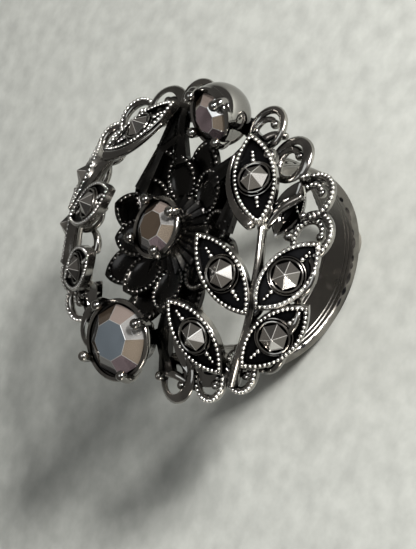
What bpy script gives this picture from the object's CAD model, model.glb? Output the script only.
import math
import random
import bmesh
import bpy
from mathutils import Matrix, Vector


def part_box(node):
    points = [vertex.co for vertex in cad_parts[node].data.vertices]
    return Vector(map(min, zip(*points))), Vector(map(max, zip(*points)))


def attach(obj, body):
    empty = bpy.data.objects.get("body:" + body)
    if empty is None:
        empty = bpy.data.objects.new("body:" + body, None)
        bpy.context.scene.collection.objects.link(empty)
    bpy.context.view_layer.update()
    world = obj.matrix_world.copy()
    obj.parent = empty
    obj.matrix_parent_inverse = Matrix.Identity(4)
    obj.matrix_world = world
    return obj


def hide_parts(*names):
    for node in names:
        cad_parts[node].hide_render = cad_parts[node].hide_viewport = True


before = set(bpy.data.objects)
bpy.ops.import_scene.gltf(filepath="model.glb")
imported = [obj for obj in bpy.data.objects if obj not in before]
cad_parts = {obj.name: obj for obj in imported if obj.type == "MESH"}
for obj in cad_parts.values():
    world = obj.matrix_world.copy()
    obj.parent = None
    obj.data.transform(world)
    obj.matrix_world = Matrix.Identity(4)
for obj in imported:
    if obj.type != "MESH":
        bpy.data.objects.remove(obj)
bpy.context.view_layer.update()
mm = 0.001                                    # pieces are modelled in millimetres and scaled once at the end
dice = random.Random(7)
print("frame loaded:", len(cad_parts), "nodes")

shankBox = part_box("shank")
shankRadius = shankBox[1].x / mm
shankHalf = shankBox[1].y / mm

head = {
    "halfAcross": 14.2,                       # dome's half axis north and south
    "halfAlong": 17.0,                        # dome's half axis east and west
    "depth": 8.0,                             # crown of the dome down to its centre
    "rise": 4.4,                              # shank up to the crown
    "wire": 0.8,
    "plate": 0.6,
}
head["centre"] = shankRadius + head["rise"] - head["depth"]


def normalAt(point):
    return Vector((point.x / head["halfAcross"] ** 2, point.y / head["halfAlong"] ** 2,
                   (point.z - head["centre"]) / head["depth"] ** 2)).normalized()


def domePoint(north, west, lift=0.0):
    rise = math.sqrt(max(0.0, 1 - north * north - west * west))
    foot = Vector((north * head["halfAcross"], west * head["halfAlong"], head["centre"] + rise * head["depth"]))
    return foot + lift * normalAt(foot)


def frameAt(at, xDir, zDir):
    x = xDir.normalized()
    y = zDir.cross(x).normalized()
    z = x.cross(y)
    turn = Matrix((x, y, z)).transposed()
    return Matrix.Translation(at) @ turn.to_4x4()


def curveThrough(points, steps):              # smooth curve through a few chosen points
    path = []
    for i in range(len(points) - 1):
        before = points[max(i - 1, 0)]
        after = points[min(i + 2, len(points) - 1)]
        for k in range(steps):
            t = k / steps
            path.append(0.5 * (2 * points[i] + (points[i + 1] - before) * t
                               + (2 * before - 5 * points[i] + 4 * points[i + 1] - after) * t * t
                               + (3 * points[i] - before - 3 * points[i + 1] + after) * t ** 3))
    path.append(points[-1].copy())
    return path


def evenPoints(path, step):                   # points at even distances along a path
    lengths = [(q - p).length for p, q in zip(path, path[1:])]
    count = max(2, round(sum(lengths) / step))
    spots = []
    for k in range(count):
        rest = (k + 0.5) * sum(lengths) / count
        for i, length in enumerate(lengths):
            if rest <= length:
                spots.append(path[i].lerp(path[i + 1], rest / length))
                break
            rest -= length
    return spots


def addBall(bm, at, radius, fine=False):
    bmesh.ops.create_uvsphere(bm, u_segments=16 if fine else 8, v_segments=10 if fine else 5, radius=radius,
                              matrix=Matrix.Translation(at))


def addBeads(bm, spots, radius):              # a row of small balls in the piece's second material
    row = bmesh.new()
    for spot in spots:
        addBall(row, spot, radius)
    for face in row.faces:
        face.material_index = 1
    mesh = bpy.data.meshes.new("row")
    row.to_mesh(mesh)
    row.free()
    bm.from_mesh(mesh)
    bpy.data.meshes.remove(mesh)


def addWire(bm, path, radius, tip=None, sides=10, closed=False, squash=1.0, upAt=normalAt):
    # a ring of points is extruded from one place on the path to the next
    tip = radius if tip is None else tip
    last = len(path) - 1
    spots = []
    for i, point in enumerate(path):
        before = path[i - 1] if i or closed else point
        after = path[(i + 1) % len(path)] if i < last or closed else point
        size = radius + (tip - radius) * i / last
        swell = Matrix.Diagonal((size, size * squash, size, 1))
        spots.append(frameAt(point, upAt(point), after - before) @ swell)
    ring = bmesh.ops.create_circle(bm, segments=sides, radius=1, matrix=spots[0])["verts"]
    edges = list({edge for vert in ring for edge in vert.link_edges})
    first = edges
    for old, new in zip(spots, spots[1:]):
        grown = bmesh.ops.extrude_edge_only(bm, edges=edges)["geom"]
        edges = [part for part in grown if isinstance(part, bmesh.types.BMEdge)]
        verts = [part for part in grown if isinstance(part, bmesh.types.BMVert)]
        bmesh.ops.transform(bm, matrix=new @ old.inverted(), verts=verts)
    if closed:
        bmesh.ops.bridge_loops(bm, edges=edges + first)
    else:
        bmesh.ops.contextual_create(bm, geom=edges)
        bmesh.ops.contextual_create(bm, geom=first)
        addBall(bm, path[0], radius * min(1, squash) * 0.99)
        addBall(bm, path[-1], tip * min(1, squash) * 0.99)


def addTurned(bm, profile, matrix, steps=48): # profile of [radius, height] turned round the local Z axis
    verts = [bm.verts.new((radius, 0, height)) for radius, height in profile]
    edges = [bm.edges.new(pair) for pair in zip(verts, verts[1:])]
    made = set(verts)
    made.update(part for part in bmesh.ops.spin(bm, geom=verts + edges, cent=(0, 0, 0), axis=(0, 0, 1),
                                                angle=math.tau, steps=steps, use_merge=True)["geom_last"]
                if isinstance(part, bmesh.types.BMVert))
    whole = set(made)
    grow = list(made)
    while grow:
        vert = grow.pop()
        for edge in vert.link_edges:
            other = edge.other_vert(vert)
            if other not in whole:
                whole.add(other)
                grow.append(other)
    verts = list(whole)
    bmesh.ops.transform(bm, matrix=matrix, verts=verts)
    return verts


def addRing(bm, matrix, radius, thick, steps=40):
    profile = [(radius + thick * math.cos(k * math.tau / 8), thick * math.sin(k * math.tau / 8))
               for k in range(9)]
    addTurned(bm, profile, matrix, steps)


def ovalEdges(length, width, inset=0.0):      # one arc of a pointed oval, from its base to its tip
    radius = (length * length + width * width) / (4 * width)
    half = math.asin(length / 2 / radius)
    reach = half * (1 - 2 * inset / length)
    return [Vector(((radius - inset) * math.sin(a), (radius - inset) * math.cos(a) - radius + width / 2, 0))
            for a in [reach * (k / 16 - 1) for k in range(33)]]


def addOval(bm, length, width, steps=14):     # face with the outline of a pointed oval
    radius = (length * length + width * width) / (4 * width)
    turn = 2 * math.asin(length / 2 / radius)
    start = bm.verts.new((-length / 2, 0, 0))
    made = [start]
    end = bmesh.ops.spin(bm, geom=[start], cent=(0, width / 2 - radius, 0), axis=(0, 0, -1), angle=turn,
                         steps=steps)["geom_last"]
    bmesh.ops.spin(bm, geom=end, cent=(0, radius - width / 2, 0), axis=(0, 0, -1), angle=turn, steps=steps)
    outline = []
    vert, edge = start, None
    while True:
        outline.append(vert)
        ways = [e for e in vert.link_edges if e is not edge]
        if not ways:
            break
        edge = ways[0]
        vert = edge.other_vert(vert)
    bmesh.ops.pointmerge(bm, verts=[outline[-1], start], merge_co=start.co)
    loop = [v for v in outline if v.is_valid]
    return bmesh.ops.contextual_create(bm, geom=loop)["faces"][0]


def raiseFace(bm, face, height):
    grown = bmesh.ops.extrude_face_region(bm, geom=[face])["geom"]
    verts = [part for part in grown if isinstance(part, bmesh.types.BMVert)]
    bmesh.ops.translate(bm, vec=(0, 0, height), verts=verts)
    return [part for part in grown if isinstance(part, bmesh.types.BMFace)][0]


def insetFace(bm, face, rim, depth):          # a smaller oval inside the oval, higher or lower by depth
    length = 2 * max(abs(vert.co.x) for vert in face.verts)
    width = 2 * max(abs(vert.co.y) for vert in face.verts)
    bmesh.ops.inset_region(bm, faces=[face], thickness=0)
    bmesh.ops.scale(bm, vec=(1 - 3.4 * rim / length, 1 - 2 * rim / width, 1), verts=list(face.verts))
    bmesh.ops.translate(bm, vec=(0, 0, depth), verts=list(face.verts))


def newPart(bm, build, matrix):               # builds a part on its own and joins it in, at its place
    part = bmesh.new()
    build(part)
    bmesh.ops.recalc_face_normals(part, faces=part.faces[:])
    bmesh.ops.transform(part, matrix=matrix, verts=part.verts[:])
    mesh = bpy.data.meshes.new("part")
    part.to_mesh(mesh)
    part.free()
    bm.from_mesh(mesh)
    bpy.data.meshes.remove(mesh)


def makePiece(name, bm, material, replaced, crease=38, mirrored=False, extra=()):
    if mirrored:
        bmesh.ops.scale(bm, vec=(1, -1, 1), verts=bm.verts[:])
    bmesh.ops.remove_doubles(bm, verts=bm.verts[:], dist=0.0005)
    bmesh.ops.recalc_face_normals(bm, faces=bm.faces[:])
    bmesh.ops.scale(bm, vec=(mm, mm, mm), verts=bm.verts[:])
    mesh = bpy.data.meshes.new(name)
    bm.to_mesh(mesh)
    bm.free()
    mesh.polygons.foreach_set("use_smooth", [True] * len(mesh.polygons))
    mesh.set_sharp_from_angle(angle=math.radians(crease))
    for surface in (material, *extra):
        mesh.materials.append(surface)
    piece = bpy.data.objects.new(name, mesh)
    bpy.context.scene.collection.objects.link(piece)
    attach(piece, "root")
    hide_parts(*replaced)
    print(name, len(mesh.polygons), "faces")
    return piece


# Materials
def buildWearGroup():                         # dark oxide in recesses, scuffs, lighter metal on raised edges
    group = bpy.data.node_groups.new("wornPlating", "ShaderNodeTree")
    for name, kind in (("Oxide", "NodeSocketColor"), ("Plate", "NodeSocketColor"), ("Worn", "NodeSocketColor"),
                       ("Wear", "NodeSocketFloat"), ("Smooth", "NodeSocketFloat"),
                       ("Scuffed", "NodeSocketFloat")):
        group.interface.new_socket(name, in_out="INPUT", socket_type=kind)
    for name, kind in (("Color", "NodeSocketColor"), ("Roughness", "NodeSocketFloat"),
                       ("Height", "NodeSocketFloat")):
        group.interface.new_socket(name, in_out="OUTPUT", socket_type=kind)
    nodes, link = group.nodes, group.links.new
    given = nodes.new("NodeGroupInput")
    given.location = (-900, 0)
    result = nodes.new("NodeGroupOutput")
    result.location = (900, 0)
    place = nodes.new("ShaderNodeTexCoord")
    place.location = (-900, -300)
    spread = nodes.new("ShaderNodeMapping")
    spread.location = (-700, -300)
    link(place.outputs["Object"], spread.inputs["Vector"])
    clouds = nodes.new("ShaderNodeTexNoise")
    clouds.location = (-500, -200)
    clouds.inputs["Scale"].default_value = 420
    clouds.inputs["Detail"].default_value = 5
    scuffs = nodes.new("ShaderNodeTexNoise")
    scuffs.location = (-500, -500)
    scuffs.inputs["Scale"].default_value = 2600
    scuffs.inputs["Detail"].default_value = 3
    link(spread.outputs["Vector"], clouds.inputs["Vector"])
    link(spread.outputs["Vector"], scuffs.inputs["Vector"])
    recess = nodes.new("ShaderNodeAmbientOcclusion")
    recess.location = (-500, 250)
    recess.samples = 8
    recess.inputs["Distance"].default_value = 0.0007
    shade = nodes.new("ShaderNodeMapRange")
    shade.location = (-300, 250)
    shade.inputs["From Min"].default_value = 0.45
    shade.inputs["From Max"].default_value = 0.92
    link(recess.outputs["AO"], shade.inputs["Value"])
    deep = nodes.new("ShaderNodeMix")
    deep.data_type = "RGBA"
    deep.location = (-50, 250)
    link(shade.outputs["Result"], deep.inputs["Factor"])
    link(given.outputs["Oxide"], deep.inputs["A"])
    link(given.outputs["Plate"], deep.inputs["B"])
    edge = nodes.new("ShaderNodeNewGeometry")
    edge.location = (-500, 500)
    sharp = nodes.new("ShaderNodeMapRange")
    sharp.location = (-300, 500)
    sharp.inputs["From Min"].default_value = 0.51
    sharp.inputs["From Max"].default_value = 0.66
    link(edge.outputs["Pointiness"], sharp.inputs["Value"])
    patch = nodes.new("ShaderNodeMapRange")
    patch.location = (-300, -100)
    patch.inputs["From Min"].default_value = 0.45
    patch.inputs["From Max"].default_value = 0.6
    link(clouds.outputs["Fac"], patch.inputs["Value"])
    amount = nodes.new("ShaderNodeMath")
    amount.operation = "MULTIPLY"
    amount.location = (-50, 0)
    link(sharp.outputs["Result"], amount.inputs[0])
    link(patch.outputs["Result"], amount.inputs[1])
    strength = nodes.new("ShaderNodeMath")
    strength.operation = "MULTIPLY"
    strength.location = (120, 0)
    link(amount.outputs["Value"], strength.inputs[0])
    link(given.outputs["Wear"], strength.inputs[1])
    worn = nodes.new("ShaderNodeMix")
    worn.data_type = "RGBA"
    worn.location = (320, 150)
    link(strength.outputs["Value"], worn.inputs["Factor"])
    link(deep.outputs["Result"], worn.inputs["A"])
    link(given.outputs["Worn"], worn.inputs["B"])
    link(worn.outputs["Result"], result.inputs["Color"])
    rough = nodes.new("ShaderNodeMath")
    rough.operation = "MULTIPLY_ADD"
    rough.location = (320, -200)
    link(clouds.outputs["Fac"], rough.inputs[0])
    link(given.outputs["Scuffed"], rough.inputs[1])
    link(given.outputs["Smooth"], rough.inputs[2])
    link(rough.outputs["Value"], result.inputs["Roughness"])
    link(scuffs.outputs["Fac"], result.inputs["Height"])
    return group


wearGroup = buildWearGroup()


def platedMetal(name, oxide, plate, worn, wear, smooth, scuffed, bump):
    material = bpy.data.materials.new(name)
    material.use_nodes = True
    nodes, link = material.node_tree.nodes, material.node_tree.links.new
    shader = nodes["Principled BSDF"]
    shader.inputs["Metallic"].default_value = 1
    wornPlating = nodes.new("ShaderNodeGroup")
    wornPlating.node_tree = wearGroup
    wornPlating.location = (-500, 200)
    for socket, value in (("Oxide", oxide), ("Plate", plate), ("Worn", worn)):
        wornPlating.inputs[socket].default_value = (*value, 1)
    for socket, value in (("Wear", wear), ("Smooth", smooth), ("Scuffed", scuffed)):
        wornPlating.inputs[socket].default_value = value
    dents = nodes.new("ShaderNodeBump")
    dents.location = (-250, -200)
    dents.inputs["Strength"].default_value = bump
    dents.inputs["Distance"].default_value = 0.00003
    link(wornPlating.outputs["Color"], shader.inputs["Base Color"])
    link(wornPlating.outputs["Roughness"], shader.inputs["Roughness"])
    link(wornPlating.outputs["Height"], dents.inputs["Height"])
    link(dents.outputs["Normal"], shader.inputs["Normal"])
    return material


def cutStone(name, tones, smooth):            # each facet takes its own tone from the piece's facet attribute
    material = bpy.data.materials.new(name)
    material.use_nodes = True
    nodes, link = material.node_tree.nodes, material.node_tree.links.new
    shader = nodes["Principled BSDF"]
    shader.inputs["Metallic"].default_value = 0.75
    facet = nodes.new("ShaderNodeAttribute")
    facet.attribute_name = "facet"
    facet.location = (-700, 200)
    ramp = nodes.new("ShaderNodeValToRGB")
    ramp.location = (-500, 200)
    for i, (place, colour) in enumerate(tones):
        stop = ramp.color_ramp.elements[i] if i < 2 else ramp.color_ramp.elements.new(place)
        stop.position = place
        stop.color = (*colour, 1)
    link(facet.outputs["Fac"], ramp.inputs["Fac"])
    where = nodes.new("ShaderNodeTexCoord")
    where.location = (-900, -150)
    spread = nodes.new("ShaderNodeMapping")
    spread.location = (-700, -150)
    haze = nodes.new("ShaderNodeTexNoise")
    haze.location = (-500, -150)
    haze.inputs["Scale"].default_value = 210
    link(where.outputs["Object"], spread.inputs["Vector"])
    link(spread.outputs["Vector"], haze.inputs["Vector"])
    cloudy = nodes.new("ShaderNodeMix")
    cloudy.data_type = "RGBA"
    cloudy.blend_type = "MULTIPLY"
    cloudy.inputs["Factor"].default_value = 0.5
    cloudy.location = (-200, 200)
    link(ramp.outputs["Color"], cloudy.inputs["A"])
    link(haze.outputs["Fac"], cloudy.inputs["B"])
    link(cloudy.outputs["Result"], shader.inputs["Base Color"])
    polish = nodes.new("ShaderNodeMapRange")
    polish.location = (-250, -150)
    polish.inputs["To Min"].default_value = smooth
    polish.inputs["To Max"].default_value = smooth + 0.08
    link(haze.outputs["Fac"], polish.inputs["Value"])
    link(polish.outputs["Result"], shader.inputs["Roughness"])
    return material


metals = {                                    # oxide, plate, worn; then wear, smooth, scuffed, bump
    "gunmetal": ((0.004, 0.004, 0.005), (0.22, 0.212, 0.2), (0.78, 0.74, 0.68),
        0.75, 0.04, 0.22, 0.15),
    "darkGunmetal": ((0.002, 0.002, 0.003), (0.03, 0.029, 0.028), (0.3, 0.28, 0.25),
        0.5, 0.1, 0.25, 0.3),
    "polishedMetal": ((0.01, 0.01, 0.01), (0.27, 0.262, 0.25), (0.6, 0.58, 0.55),
        0.2, 0.0, 0.1, 0.05),
    "milgrain": ((0.01, 0.01, 0.01), (0.75, 0.73, 0.7), (1.0, 0.98, 0.95),
        0.8, 0.12, 0.2, 0.1),
    "darkMilgrain": ((0.003, 0.003, 0.003), (0.12, 0.115, 0.11), (0.5, 0.47, 0.43),
        0.6, 0.12, 0.2, 0.1),
    "blackOxide": ((0.001, 0.001, 0.001), (0.012, 0.012, 0.013), (0.3, 0.28, 0.26),
        0.35, 0.25, 0.3, 0.5),
    "shankMetal": ((0.008, 0.008, 0.008), (0.2, 0.19, 0.175), (0.7, 0.66, 0.6),
        0.85, 0.18, 0.26, 0.5),
}
gunmetal, darkGunmetal, polishedMetal, milgrain, darkMilgrain, blackOxide, shankMetal = (
    platedMetal(name, *values) for name, values in metals.items())
stoneTones = {                                # place on the ramp and colour; the two ends come first
    "marcasite": [(0.0, (0.1, 0.095, 0.09)), (1.0, (1.0, 0.98, 0.95)), (0.5, (0.42, 0.39, 0.35))],
    "hematite": [(0.0, (0.32, 0.38, 0.44)), (1.0, (1.0, 0.99, 0.97)), (0.2, (0.2, 0.15, 0.11)),
                 (0.4, (0.75, 0.63, 0.5)), (0.6, (0.46, 0.36, 0.39)), (0.8, (0.4, 0.39, 0.39))],
}
marcasiteCut = cutStone("marcasiteCut", stoneTones["marcasite"], 0.06)
hematiteCut = cutStone("hematiteCut", stoneTones["hematite"], 0.04)
print("materials made")

# Shank
shank = {
    "hole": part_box("shank")[1].z / mm - 0.95,
    "channel": 0.85,                          # half width of the engraved channel
    "channelDepth": 0.2,
    "line": 1.45,                             # where the engraved line runs
    "lineDepth": 0.1,
    "leaves": 54,                             # engraved leaves round the band
    "leafSize": (1.25, 0.62),
    "grooves": (1.3, 1.75),
    "pitLength": (0.5, 1.2),
    "pitWidth": (0.16, 0.34),
    "dashes": 44,                             # pits round each edge of the hole
}


def buildShank():
    bm = bmesh.new()
    r, half = shankRadius, shankHalf
    low = r - shank["channelDepth"]
    side = [(shank["hole"] + 0.1, half), (r - 0.3, half), (r - 0.1, half - 0.06), (r, half - 0.25),
            (r, shank["line"] + 0.1), (r - shank["lineDepth"], shank["line"] + 0.05),
            (r - shank["lineDepth"], shank["line"] - 0.05), (r, shank["line"] - 0.1),
            (r, shank["channel"] + 0.12), (low, shank["channel"])]
    inside = [(shank["hole"], 0.0)]
    for y in shank["grooves"]:                # fine lines round the inside
        inside += [(shank["hole"], y - 0.07), (shank["hole"] + 0.07, y), (shank["hole"], y + 0.07)]
    inside.append((shank["hole"], half - 0.12))
    profile = inside + side + [(low, 0.0)] + [(radius, -y) for radius, y in reversed(side)]
    profile += [(radius, -y) for radius, y in reversed(inside)]
    addTurned(bm, profile, Matrix.Rotation(math.pi / 2, 4, "X"), 160)
    for k in range(shank["leaves"]):
        turn = k * math.tau / shank["leaves"]
        if abs(math.remainder(turn - math.pi / 2, math.tau)) < 0.35:
            continue                          # the head stands here

        def engravedLeaf(part):
            face = raiseFace(part, addOval(part, *shank["leafSize"], steps=5), 0.14)
            insetFace(part, face, 0.12, 0.05)
        for lean in (-1, 1):
            out = Vector((math.cos(turn), 0, math.sin(turn)))
            along = Vector((-math.sin(turn), lean * 0.75, math.cos(turn)))
            at = out * (low - 0.02) + Vector((0, lean * 0.42, 0))
            newPart(bm, engravedLeaf, frameAt(at, along, out))
    for k in range(shank["dashes"]):
        turn = (k + dice.uniform(-0.3, 0.3)) * math.tau / shank["dashes"]
        out = Vector((math.cos(turn), 0, math.sin(turn)))
        along = Vector((-math.sin(turn), 0, math.cos(turn)))
        for flip in (-1, 1):

            def pit(part, length=dice.uniform(*shank["pitLength"]), width=dice.uniform(*shank["pitWidth"])):
                raiseFace(part, addOval(part, length, width, 5), 0.05)
                for face in part.faces:
                    face.material_index = 1
            at = out * (shank["hole"] + 0.11) + Vector((0, flip * (half - 0.01), 0))
            newPart(bm, pit, frameAt(at, along, Vector((0, flip, 0)) - out * 0.8))
    makePiece("shankBand", bm, shankMetal, ["shank"], 30, False, (blackOxide,))


buildShank()
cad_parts["shank_seam_plate"].data.materials.clear()
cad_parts["shank_seam_plate"].data.materials.append(shankMetal)
for name, material in (("saddle_plate", darkGunmetal), ("center_rivet", gunmetal)):
    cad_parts[name].data.materials.clear()
    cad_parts[name].data.materials.append(material)
print("shank done")

# Leaves, stems and marcasites
leafValues = {
    "width": 3.8, "floor": 0.45, "rim": 0.35, "rimHeight": 0.3, "lift": 0.5,
    "bead": 0.18, "beadStep": 0.4, "endBead": 0.23, "granules": (0.55, 0.98, 1.34), "seat": 1.23, "bezel": 0.1,
    "facetTones": (0.1, 0.55, 1.0, 0.35, 0.7, 0.0),
}
leaves = [                                    # base, tip and the point of the stem it grows from
    ((0.25, 0.63), (0.7, 0.29), 6),
    ((-0.21, 0.74), (0.09, 0.35), 3),
    ((-0.17, 0.75), (0.31, 0.86), 3),
    ((-0.57, 0.66), (-0.31, 0.32), 0),
    ((-0.49, 0.73), (-0.02, 0.93), 1),
]
stem = [(-0.6, 0.68), (-0.46, 0.71), (-0.33, 0.73), (-0.21, 0.73), (-0.06, 0.71), (0.08, 0.68), (0.26, 0.62)]


def leafPlace(base, tip):                     # a flat leaf's middle sits halfway between its chord and the dome
    p, q = domePoint(*base, leafValues["lift"]), domePoint(*tip, leafValues["lift"])
    north, west = (base[0] + tip[0]) / 2, (base[1] + tip[1]) / 2
    middle = ((p + q) / 2 + domePoint(north, west, leafValues["lift"])) / 2
    return frameAt(middle, q - p, normalAt(domePoint(north, west))), (q - p).length


def buildLeaf(part, length):
    v = leafValues
    face = raiseFace(part, addOval(part, length, v["width"]), v["floor"] + v["rimHeight"] - 0.12)
    insetFace(part, face, 0.06, 0.06)
    insetFace(part, face, v["rim"] - 0.1, 0.0)
    insetFace(part, face, 0.07, -v["rimHeight"])
    face.material_index = 2
    top = v["floor"] + v["rimHeight"] - 0.06
    for flip in (-1, 1):
        arc = [Vector((p.x, p.y * flip, top)) for p in ovalEdges(length - 0.25, v["width"] - 0.1, v["rim"] / 2)]
        addBeads(part, evenPoints(arc, v["beadStep"]), v["bead"])
    for end in (-1, 1):
        addBall(part, Vector((end * (length / 2 - 0.3), 0, top)), v["bead"] * 1.1)
        for k, out in enumerate(v["granules"]):
            addBeads(part, [Vector((end * (v["seat"] + out), 0, v["floor"] + 0.08))], v["endBead"] - 0.04 * k)
    for radius, high, thick in ((v["seat"] + 0.09, v["floor"] + 0.3, v["bezel"]),
                                (v["seat"] + 0.3, v["floor"] + 0.1, v["bezel"] * 0.8)):
        addRing(part, Matrix.Translation((0, 0, high)), radius, thick)
    wall = [(v["seat"] + 0.18, v["floor"] - 0.1), (v["seat"] + 0.16, v["floor"] + 0.3),
            (v["seat"], v["floor"] + 0.3), (v["seat"] - 0.02, v["floor"] - 0.1)]
    addTurned(part, wall + wall[:1], Matrix.Identity(4), 40)


def buildStem(name, node, east):
    bm = bmesh.new()
    path = curveThrough([domePoint(*spot, 0.4) for spot in stem], 6)
    addWire(bm, path, 0.8, 0.5, sides=12, squash=0.7)
    for base, tip, root in leaves:
        inner = Vector(base).lerp(Vector(tip), 0.16)
        stalk = curveThrough([domePoint(*stem[root], 0.35), domePoint(*base, 0.35), domePoint(*inner, 0.3)], 4)
        addWire(bm, stalk, 0.5, 0.3)
    makePiece(name, bm, gunmetal, [node], 38, east)


def buildLeafPiece(name, node, leaf, east):
    place, length = leafPlace(leaf[0], leaf[1])
    bm = bmesh.new()
    buildLeaf(bm, length)
    if leaf is leaves[0]:                     # the north leaf has a broad smooth border on one side
        edge = [Vector((p.x, -p.y - 0.38, 0.4)) for p in ovalEdges(length, leafValues["width"])[2:26]]
        addWire(bm, edge, 0.5, 0.18, sides=12, upAt=lambda point: Vector((0, 0, 1)))
    bmesh.ops.transform(bm, matrix=place, verts=bm.verts[:])
    makePiece(name, bm, gunmetal, [node], 38, east, (milgrain, blackOxide))


def buildMarcasite(name, node, leaf, east):
    place, length = leafPlace(leaf[0], leaf[1])
    bm = bmesh.new()
    r = leafValues["seat"] - 0.03
    bmesh.ops.create_cone(bm, cap_ends=True, segments=6, radius1=r, radius2=r * 0.06, depth=0.8,
                          matrix=Matrix.Translation((0, 0, 0.4 + leafValues["rimHeight"])))
    bmesh.ops.bevel(bm, geom=bm.edges[:], offset=0.03, affect="EDGES", segments=1, profile=0.5, material=-1)
    toneFacets(bm, 0.5, leafValues["facetTones"], 0.3)
    bmesh.ops.transform(bm, matrix=place @ Matrix.Translation((0, 0, leafValues["floor"])), verts=bm.verts[:])
    makePiece(name, bm, marcasiteCut, [node], 5, east)


def toneFacets(bm, table, around, least):     # one tone for each facet, taken in turn round the stone
    bm.normal_update()
    tone = bm.faces.layers.float.new("facet")
    for face in bm.faces:
        spot = face.calc_center_median()
        turn = math.atan2(spot.y, spot.x) / math.tau % 1
        face[tone] = table if face.normal.z > 0.98 else around[int(turn * len(around)) % len(around)]
        if face.calc_area() < least:
            face[tone] = 0.95                 # the narrow edges catch the light


for side, east in (("East", True), ("West", False)):
    low = side.lower()
    buildStem("stem" + side, "stem_" + low, east)
    for i, leaf in enumerate(leaves):
        buildLeafPiece(f"leaf{side}{i + 1}", f"leaf_{low}_{i + 1}", leaf, east)
        buildMarcasite(f"marcasite{side}{i + 1}", f"marcasite_{low}_{i + 1}", leaf, east)
print("sprays done")

# Scrolls of the rim
rim = {
    "loops": [                                # north, to the side, radius, style, turn of its opening
        (0.79, 0.28, 1.75, "round", 200), (0.68, 0.51, 1.75, "strip", 190), (0.53, 0.71, 1.9, "beaded", 170),
        (0.33, 0.81, 1.85, "beaded", 200), (0.1, 0.84, 1.7, "round", 150), (-0.14, 0.83, 1.8, "plain", 200),
        (-0.36, 0.81, 1.7, "plain", 160), (-0.53, 0.71, 1.75, "beaded", 200),
        (-0.66, 0.56, 1.75, "beaded", 190),
        (-0.765, 0.36, 1.75, "strip", 170),
    ],
    "knobs": [                                # place north, place to the side, radius
        (0.65, 0.45, 0.72), (0.62, 0.62, 0.45), (0.66, 0.67, 0.38), (0.57, 0.66, 0.36), (0.25, 0.70, 0.42),
        (-0.53, 0.55, 0.42), (-0.78, 0.3, 0.45), (0.43, 0.73, 0.36), (-0.26, 0.88, 0.36),
        (-0.02, 0.8, 0.38), (-0.45, 0.8, 0.34),
    ],
    "bead": 0.17,
    "beadStep": 0.42,
}


def addScroll(bm, north, west, radius, style, opening):
    centre = domePoint(north, west)
    normal = normalAt(centre)
    place = frameAt(centre, Vector((centre.x, centre.y, 0)), normal)
    start = math.radians(opening)
    path = []
    for k in range(41):                       # a full turn outside, then it curls in
        t = k / 40 * (1.0 if style == "plain" else 1.45)
        size = radius * (1 - 0.62 * max(0.0, t - 0.9) / 0.55)
        angle = start + t * math.tau
        drop = -0.12 * math.cos(angle) - 0.35 * max(0.0, t - 1.0)
        if style == "plain":                  # its inner side dips under a leaf
            drop = 0.33 * math.cos(angle) - 0.68
        path.append(place @ Vector((size * math.cos(angle), size * math.sin(angle), drop)))

    def flatUp(point):
        return normal
    if style == "strip":
        addWire(bm, path, 0.24, 0.2, sides=10, squash=2.1, upAt=flatUp)
    else:
        addWire(bm, path, head["wire"] / 2, 0.26, sides=10, upAt=flatUp)
    addBall(bm, path[-1], 0.42, True)
    if style == "beaded":
        crest = [point + normal * 0.34 for point in path]
        addBeads(bm, evenPoints(crest, rim["beadStep"]), rim["bead"] * 1.15)


def buildRim(name, node, east):
    bm = bmesh.new()
    for loop in rim["loops"]:
        newPart(bm, lambda part: addScroll(part, *loop), Matrix.Identity(4))
    for north, west, radius in rim["knobs"]:
        knob = domePoint(north, west)         # each knob sits on the wire of its nearest loop
        near = min(rim["loops"], key=lambda loop: (domePoint(loop[0], loop[1]) - knob).length)
        centre = domePoint(near[0], near[1])
        knob = centre + (knob - centre).normalized() * near[2]
        addBall(bm, knob + normalAt(knob) * 0.25, radius, True)
        addBall(bm, knob - normalAt(knob) * 0.25, radius * 0.8, True)
    makePiece(name, bm, gunmetal, [node], 38, east, (milgrain,))


sidePetals = [                                # foot, tip, width
    ((0.24, 0.68), (0.6, 0.62), 2.4),
    ((-0.74, 0.42), (-0.55, 0.66), 2.6),
    ((-0.47, 0.33), (-0.72, 0.46), 1.7),
]


def buildSidePetals(name, node, east):
    bm = bmesh.new()
    for foot, tip, width in sidePetals:
        p, q = domePoint(*foot, -0.45), domePoint(*tip, -0.45)
        north, west = (foot[0] + tip[0]) / 2, (foot[1] + tip[1]) / 2

        def dishedPetal(part, length=(q - p).length, width=width):
            face = raiseFace(part, addOval(part, length, width, 18), 0.5)
            insetFace(part, face, 0.1, 0.08)
            insetFace(part, face, 0.1, -0.08)
            for step in range(3):
                insetFace(part, face, width * 0.1, -0.16 + 0.04 * step)
            face.material_index = 1
        newPart(bm, dishedPetal, frameAt((p + q) / 2, q - p, normalAt(domePoint(north, west))))
    makePiece(name, bm, polishedMetal, [node], 45, east, (blackOxide,))


northApex = (0.69, 0.31)
southFoot = (-0.76, 0.3)
stemTies = [(2, 6), (4, 4), (6, 2), (8, 0)]


def buildTies(name, node, east):
    bm = bmesh.new()
    first, last = rim["loops"][0], rim["loops"][-1]
    ends = [(northApex, (first[0], first[1] + 0.1)), (southFoot, (last[0], last[1] + 0.1))]
    ends += [((rim["loops"][i][0] * 0.94, rim["loops"][i][1] * 0.94), stem[k]) for i, k in stemTies]
    for start, end in ends:
        way = (Vector(start) + Vector(end)) / 2 + Vector((0.02, -0.01))
        addWire(bm, curveThrough([domePoint(*start), domePoint(*way, 0.1), domePoint(*end)], 5), 0.4, 0.34)
    makePiece(name, bm, gunmetal, [node], 38, east)


for side, east in (("East", True), ("West", False)):
    buildRim("scrollRim" + side, "scroll_rim_" + side.lower(), east)
    buildSidePetals("sidePetals" + side, "side_petals_" + side.lower(), east)
    buildTies("rimTies" + side, "rim_ties_" + side.lower(), east)
print("rim done")

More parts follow.
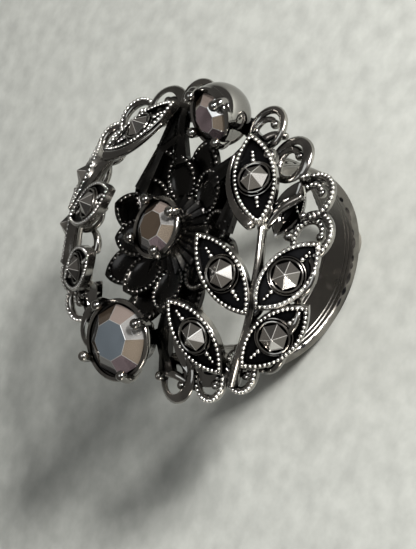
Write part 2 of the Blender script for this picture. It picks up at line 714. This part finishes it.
# Frames, flower and collar
flower = {
    "count": 8, "length": 4.7, "width": 3.5, "ring": 4.95, "rise": 16, "thick": 0.45,
    "collar": 3.5, "collarHeight": 0.9, "pleats": 24, "bead": 0.2,
}
flower["floor"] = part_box("saddle_plate")[1].z / mm


def petalPoint(k, share):
    turn = (k + 0.5) * math.tau / flower["count"]
    rise = math.radians(flower["rise"])
    out = flower["ring"] - flower["length"] / 2 + share * flower["length"] * math.cos(rise)
    return Vector((out * math.cos(turn), out * math.sin(turn),
                   flower["floor"] + head["plate"] / 2 + share * flower["length"] * math.sin(rise)))


frames = {"rib": 1.7, "crossbar": 1.2, "cradle": 1.5, "ridge": 0.22, "waist": 0.35}   # widths, ridge, share


def addStrap(bm, p, q, width, thick):
    def box(part):
        bmesh.ops.create_cube(part, size=1)
        bmesh.ops.scale(part, vec=((q - p).length + thick, width, thick), verts=part.verts[:])
        bmesh.ops.subdivide_edges(part, edges=part.edges[:], cuts=5, use_grid_fill=True)
        for vert in part.verts:               # a shallow ridge and a waist
            vert.co.z += frames["ridge"] * (1 - abs(vert.co.y) * 2 / width) * (vert.co.z > 0)
            vert.co.y *= 1 - frames["waist"] * (1 - abs(vert.co.x) * 2 / (q - p).length)
    newPart(bm, box, frameAt((p + q) / 2, q - p, Vector((0, 0, 1))))


def buildNorthFrame():
    bm = bmesh.new()
    bowl = {"at": domePoint(0.74, 0, 0.5), "radius": 2.76}
    for side in (-1, 1):
        def flip(point):
            return Vector((point.x, point.y * side, point.z))
        apex = domePoint(*northApex)
        outer, inner = petalPoint(1, 0.8), petalPoint(0, 0.8)
        cradle = bowl["at"] + Vector((0, bowl["radius"] * 0.45, -bowl["radius"]))
        for p, q, width in ((apex, outer, frames["rib"]), (apex, inner, frames["rib"]),
                            ((apex + outer) / 2, (apex + inner) / 2, frames["crossbar"]),
                            (apex, cradle, frames["cradle"]),
                            (cradle, Vector((cradle.x, 0, cradle.z)), frames["cradle"])):
            addStrap(bm, flip(p), flip(q), width, head["plate"])
    makePiece("northFrame", bm, darkGunmetal, ["north_frame"], 38)


def buildSouthFrame():
    bm = bmesh.new()
    for side in (-1, 1):
        def flip(point):
            return Vector((point.x, point.y * side, point.z))
        foot = domePoint(*southFoot)
        cup = domePoint(-0.73, 0, -1.45)
        start = Vector((-flower["collar"] * 0.9, flower["collar"] * 0.35, flower["floor"] + head["plate"] / 2))
        bend = Vector((cup.x + 1.26, 2.65, cup.z))
        for p, q in ((start, bend), (bend, foot), (bend, cup)):
            addStrap(bm, flip(p), flip(q), frames["rib"], head["plate"])
    makePiece("southFrame", bm, darkGunmetal, ["south_frame"], 38)


def buildFlower():
    bm = bmesh.new()

    def petal(part):
        v = flower
        face = raiseFace(part, addOval(part, v["length"], v["width"], 18), v["thick"])
        insetFace(part, face, 0.32, 0.04)
        insetFace(part, face, 0.12, -0.16)
        insetFace(part, face, 0.3, -0.12)
        insetFace(part, face, 0.35, -0.06)
        for flip in (-1, 1):
            arc = [Vector((p.x, p.y * flip, v["thick"] + 0.02))
                   for p in ovalEdges(v["length"] - 0.2, v["width"], 0.2)]
            addBeads(part, evenPoints(arc, 0.46), v["bead"])
    for k in range(flower["count"]):
        turn = Matrix.Rotation((k + 0.5) * math.tau / flower["count"], 4, "Z")
        root = Matrix.Translation((flower["ring"] - flower["length"] / 2, 0, flower["floor"]))
        lean = Matrix.Rotation(-math.radians(flower["rise"]), 4, "Y")
        newPart(bm, petal, turn @ root @ lean @ Matrix.Translation((flower["length"] / 2, 0, 0)))
    for k in range(flower["count"]):          # darker petals behind reach out towards the leaves
        turn = Matrix.Rotation(k * math.tau / flower["count"], 4, "Z")
        root = Matrix.Translation((flower["ring"] - 1.6, 0, flower["floor"] - 0.1))
        lean = Matrix.Rotation(-math.radians(flower["rise"] - 3), 4, "Y")
        newPart(bm, petal, turn @ root @ lean @ Matrix.Translation((flower["length"] * 0.58, 0, 0))
                @ Matrix.Diagonal((1.15, 1.05, 0.8, 1)))
    low, high = flower["floor"], flower["floor"] + head["plate"]
    disc = [(0.7, low), (flower["collar"], low), (flower["collar"] + 0.08, low + 0.2), (flower["collar"], high),
            (0.7, high), (0.7, low)]
    addTurned(bm, disc, Matrix.Identity(4))
    makePiece("flowerPetals", bm, darkGunmetal, ["flower_petals"], 45, False, (darkMilgrain,))


def buildCollar():
    bm = bmesh.new()
    low = flower["floor"] + head["plate"]
    r, h = flower["collar"], flower["collarHeight"]
    fan = [(0.65, low), (r, low), (r, low + 0.15), (r * 0.9, low + 0.3), (r * 0.7, low + 0.62),
           (r * 0.52, low + h),
           (0.65, low + h), (0.65, low)]
    for vert in addTurned(bm, fan, Matrix.Identity(4), flower["pleats"] * 4):
        out = math.hypot(vert.co.x, vert.co.y)
        if out > r * 0.5 and vert.co.z > low + 0.1:
            fold = math.cos(math.atan2(vert.co.y, vert.co.x) * flower["pleats"])
            vert.co.z += 0.13 * fold * min(1, out / r)
            vert.co.x *= 1 + 0.02 * fold
            vert.co.y *= 1 + 0.02 * fold
    makePiece("flowerCollar", bm, darkGunmetal, ["flower_collar"], 60)


buildNorthFrame()
buildSouthFrame()
buildFlower()
buildCollar()
print("flower done")

# Cups and cut stones
settings = {
    "wall": 0.4, "prong": 0.45, "gap": 0.03, "crownShare": 0.17, "tableShare": 0.56, "backShare": 0.55,
    "facetTones": (0.2, 0.95, 0.4, 0.8, 0.6, 0.3, 0.9, 0.5),
    "centre": {"stone": 4.7, "cup": 1.7},
    "north": {"stone": 4.4, "rise": 0.85, "lift": 0.5, "lean": 32, "at": (0.74, 0)},
    "south": {"stone": 6.3, "cup": 2.9, "lean": 10, "sideLean": 10, "at": (-0.73, 0)},
}


def turned(axis, degrees):
    return Matrix.Rotation(math.radians(degrees), 4, axis)


def seatCentre():
    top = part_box("center_stone")[1].z / mm
    return Matrix.Translation((0, 0, top - settings["centre"]["stone"] * settings["crownShare"]))


def seatNorth():
    v = settings["north"]
    return Matrix.Translation(domePoint(*v["at"], v["lift"])) @ turned("Y", -v["lean"]) \
        @ Matrix.Translation((0, 0, v["rise"]))


def seatSouth():
    v = settings["south"]
    return Matrix.Translation(domePoint(*v["at"], -v["cup"] / 2)) @ turned("Y", -v["lean"]) \
        @ turned("X", v["sideLean"]) @ Matrix.Translation((0, 0, v["cup"]))


def addProngs(bm, place, stone, root):
    r = stone / 2 + settings["gap"] + settings["wall"]
    h = stone * settings["crownShare"]
    thick = settings["prong"]
    for k in range(4):
        around = turned("Z", 45 + 90 * k)
        claw = [Vector((r * 0.8, 0, -root)), Vector((r * 0.95, 0, -root * 0.45)),
                Vector((r + 0.04, 0, h * 0.3)),
                Vector((r - 0.1, 0, h * 0.8)), Vector((r - 0.3, 0, h + 0.12))]
        outward = place.to_3x3() @ around.to_3x3() @ Vector((1, 0, 0.3))
        path = [place @ around @ point for point in curveThrough(claw, 4)]
        addWire(bm, path, thick * 0.8, thick, sides=12, upAt=lambda point: outward)
        addBall(bm, place @ around @ claw[-1], thick * 1.08, True)


def buildFlaredCup(name, node, place, stone, depth, flutes):
    bm = bmesh.new()
    top = stone / 2 + settings["gap"] + settings["wall"]
    seat = top - settings["wall"]
    low = stone * 0.3
    profile = [(0, -depth), (low - 0.1, -depth), (low, -depth + 0.1), (low + 0.1, -depth * 0.8),
               (low + (top - low) * 0.35, -depth * 0.55), (low + (top - low) * 0.7, -depth * 0.28),
               (top - 0.08, -0.14), (top, 0.0), (top - 0.02, 0.2), (top - 0.12, 0.3), (seat, 0.27), (seat, 0.0),
               (seat * 0.4, -depth * 0.52), (0, -depth * 0.56)]
    for vert in addTurned(bm, profile, Matrix.Identity(4), flutes * 6):
        if -depth * 0.9 < vert.co.z < -0.2 and math.hypot(vert.co.x, vert.co.y) > low * 0.9:
            groove = 1 - 0.035 * (1 + math.cos(math.atan2(vert.co.y, vert.co.x) * flutes))
            vert.co.x *= groove
            vert.co.y *= groove
    bmesh.ops.transform(bm, matrix=place, verts=bm.verts[:])
    addProngs(bm, place, stone, depth * 0.4)
    makePiece(name, bm, gunmetal, [node], 50)


def buildBowlCup():
    bm = bmesh.new()
    stone, rise = settings["north"]["stone"], settings["north"]["rise"]
    mouth = stone / 2 + settings["gap"] + settings["wall"]
    bowl = math.hypot(mouth, rise)
    seat = mouth - settings["wall"]
    start = math.asin(rise / bowl)
    profile = [(bowl * math.cos(a), bowl * math.sin(a) - rise)
               for a in [-math.pi / 2 + k / 14 * (math.pi / 2 + start) for k in range(15)]]
    profile[0] = (0, profile[0][1])
    profile += [(mouth, 0.2), (mouth - 0.1, 0.3), (seat, 0.27), (seat, 0.0), (seat * 0.35, -stone * 0.29),
                (0, -stone * 0.31)]
    addTurned(bm, profile, seatNorth(), 64)
    addRing(bm, seatNorth() @ Matrix.Translation((0, 0, -0.25)), mouth - 0.02, 0.09, 56)
    addProngs(bm, seatNorth(), stone, rise)
    makePiece("northCup", bm, polishedMetal, ["north_cup"], 50)


def buildStone(name, node, place, size, back, table):
    bm = bmesh.new()
    crown = size * settings["crownShare"]
    r = size / 2
    spot = place @ turned("Z", 22.5)
    bmesh.ops.create_cone(bm, cap_ends=True, segments=8, radius1=r,
                          radius2=r * settings["tableShare"], depth=crown,
                          matrix=Matrix.Translation((0, 0, crown / 2)))
    bottom = [face for face in bm.faces if face.calc_center_median().z < 0.01]
    bmesh.ops.delete(bm, geom=bottom, context="FACES_ONLY")
    bmesh.ops.create_cone(bm, cap_ends=False, segments=8, radius1=0.1, radius2=r, depth=back,
                          matrix=Matrix.Translation((0, 0, -back / 2)))
    bmesh.ops.remove_doubles(bm, verts=bm.verts[:], dist=0.001)
    bmesh.ops.holes_fill(bm, edges=[edge for edge in bm.edges if edge.is_boundary], sides=8)
    bmesh.ops.bevel(bm, geom=bm.edges[:], offset=0.03, affect="EDGES", segments=1, profile=0.5, material=-1)
    toneFacets(bm, table, settings["facetTones"], size * 0.05)
    bmesh.ops.transform(bm, matrix=spot, verts=bm.verts[:])
    makePiece(name, bm, hematiteCut, [node], 5)


centre, south, north = (settings[key] for key in ("centre", "south", "north"))
buildFlaredCup("centreCup", "center_cup", seatCentre(), centre["stone"], centre["cup"], 12)
buildFlaredCup("southCup", "south_cup", seatSouth(), south["stone"], south["cup"], 14)
buildBowlCup()
backShare = settings["backShare"]
buildStone("centreStone", "center_stone", seatCentre(), centre["stone"], centre["cup"] * backShare, 0.2)
buildStone("southStone", "south_stone", seatSouth(), south["stone"], south["cup"] * backShare, 0.0)
buildStone("northStone", "north_stone", seatNorth(), north["stone"], north["stone"] * 0.3, 0.6)
print("stones done")

# World, floor, lights and camera
view = {
    "azimuth": 7.01, "elevation": 42.98, "roll": -72.21,
    "shift": (5.03, 0.98), "distance": 150.07, "lens": 72.9,
}


def viewAxes():
    a, e, g = (math.radians(view[key]) for key in ("azimuth", "elevation", "roll"))
    back = Vector((math.sin(a) * math.cos(e), -math.cos(a) * math.cos(e), math.sin(e)))
    across = Vector((0, 0, 1)).cross(back).normalized()
    over = back.cross(across)
    return (across * math.cos(g) + over * math.sin(g), over * math.cos(g) - across * math.sin(g), back)


right, up, back = viewAxes()


def makeCamera():
    data = bpy.data.cameras.new("camera")
    data.sensor_fit = "VERTICAL"
    data.sensor_height = 24
    data.lens = view["lens"]
    data.clip_start = 0.005
    camera = bpy.data.objects.new("camera", data)
    at = (back * view["distance"] - right * view["shift"][0] - up * view["shift"][1]) * mm
    camera.matrix_world = Matrix.Translation(at) @ Matrix((right, up, back)).transposed().to_4x4()
    bpy.context.scene.collection.objects.link(camera)
    bpy.context.scene.camera = camera


def makeLight(name, at, size, power, colour=(1, 1, 1)):
    data = bpy.data.lights.new(name, "AREA")
    data.shape = "RECTANGLE"
    data.size, data.size_y = size
    data.energy = power
    data.color = colour
    lamp = bpy.data.objects.new(name, data)
    target = Vector((0, 0, 0.008))
    lamp.location = at
    lamp.rotation_euler = (at - target).to_track_quat("Z", "Y").to_euler()
    bpy.context.scene.collection.objects.link(lamp)


def makeFloor():
    bm = bmesh.new()
    bmesh.ops.create_grid(bm, x_segments=4, y_segments=4, size=0.6,
                          matrix=Matrix.Translation((0, 0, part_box("shank")[0].z)))
    mesh = bpy.data.meshes.new("floor")
    bm.to_mesh(mesh)
    bm.free()
    floor = bpy.data.objects.new("floor", mesh)
    bpy.context.scene.collection.objects.link(floor)
    paper = bpy.data.materials.new("paper")
    paper.use_nodes = True
    nodes, link = paper.node_tree.nodes, paper.node_tree.links.new
    where = nodes.new("ShaderNodeTexCoord")
    fibres = nodes.new("ShaderNodeTexNoise")
    fibres.inputs["Scale"].default_value = 500
    fibres.inputs["Detail"].default_value = 6
    tint = nodes.new("ShaderNodeValToRGB")
    tint.color_ramp.elements[0].position = 0.3
    tint.color_ramp.elements[0].color = (0.36, 0.37, 0.348, 1)
    tint.color_ramp.elements[1].position = 0.7
    tint.color_ramp.elements[1].color = (0.455, 0.468, 0.44, 1)
    link(where.outputs["Object"], fibres.inputs["Vector"])
    link(fibres.outputs["Fac"], tint.inputs["Fac"])
    link(tint.outputs["Color"], nodes["Principled BSDF"].inputs["Base Color"])
    nodes["Principled BSDF"].inputs["Roughness"].default_value = 0.9
    mesh.materials.append(paper)


makeCamera()
makeFloor()
lights = {                                    # place, size, power, colour
    "windowLight": ((back * 0.9 + up * 0.4 + right * 0.22) * 0.3, (0.05, 0.035), 1.6, (1, 0.98, 0.95)),
    "ceilingLight": ((Vector((0, 0, 1)) * 0.8 + back * 0.3) * 0.5, (0.3, 0.3), 0.5, (0.93, 0.97, 1)),
    "cornerLight": ((back * 0.7 + right * 0.42 + up * 0.65) * 0.28, (0.035, 0.025), 0.6, (1, 0.98, 0.95)),
    "sideLight": ((right * 0.2 - up * 0.9 + back * 0.55) * 0.35, (0.12, 0.04), 0.3, (1, 0.93, 0.84)),
}
for name, values in lights.items():
    makeLight(name, *values)
world = bpy.data.worlds.new("room")
world.use_nodes = True
world.node_tree.nodes["Background"].inputs["Color"].default_value = (0.5, 0.48, 0.45, 1)
world.node_tree.nodes["Background"].inputs["Strength"].default_value = 0.28
bpy.context.scene.world = world
bpy.context.scene.view_settings.view_transform = "Standard"
print("stage done")
